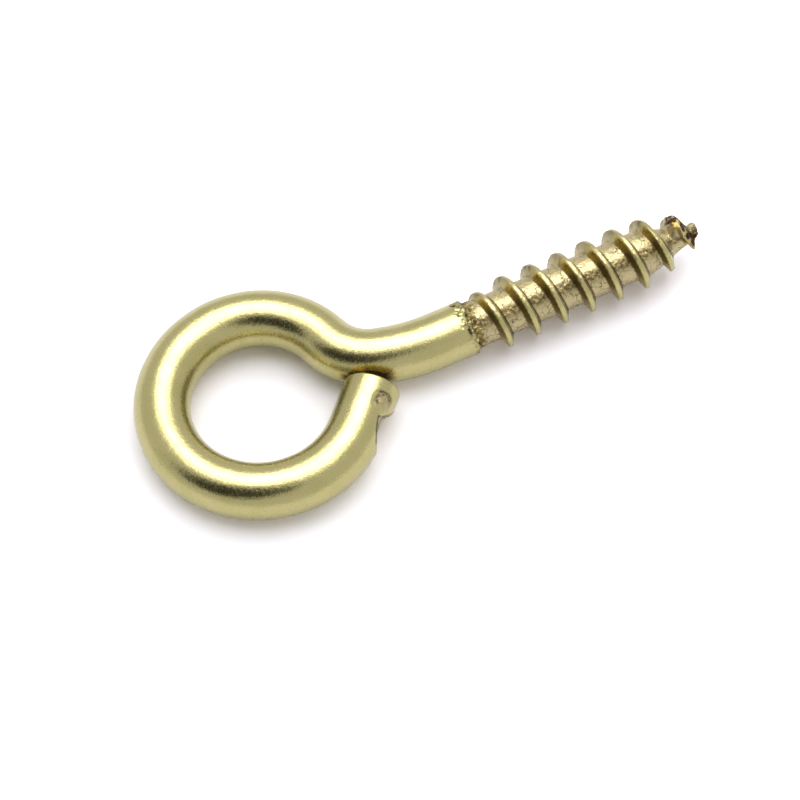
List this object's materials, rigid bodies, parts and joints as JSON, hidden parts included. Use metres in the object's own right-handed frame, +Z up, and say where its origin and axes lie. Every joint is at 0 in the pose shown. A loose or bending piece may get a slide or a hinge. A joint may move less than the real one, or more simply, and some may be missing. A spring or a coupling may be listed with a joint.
{
  "type": "screw eye",
  "caption": "Screw eye: round wire bent to a closed ring, with a wood-screw thread on its shank and a broken gimlet point, lying on its side.",
  "frame": {"origin": "centre of the eye's round hole, in the middle plane of the wire", "axes": "+X along the shank towards the tip (the shank rises by the lean at rest, 0.98 degrees), +Z up, out of the eye's plane, +Y to the left of the shank seen from above"},
  "size_m": [0.0423, 0.0178, 0.005],
  "materials": {
    "plated_wire": "bright yellow plating on steel wire, satin-gloss with fine pits, bare and torn at the collar, the nick and the broken tip"
  },
  "bodies": {
    "root": {"screw_eye": "plated_wire"}
  },
  "joints": []
}
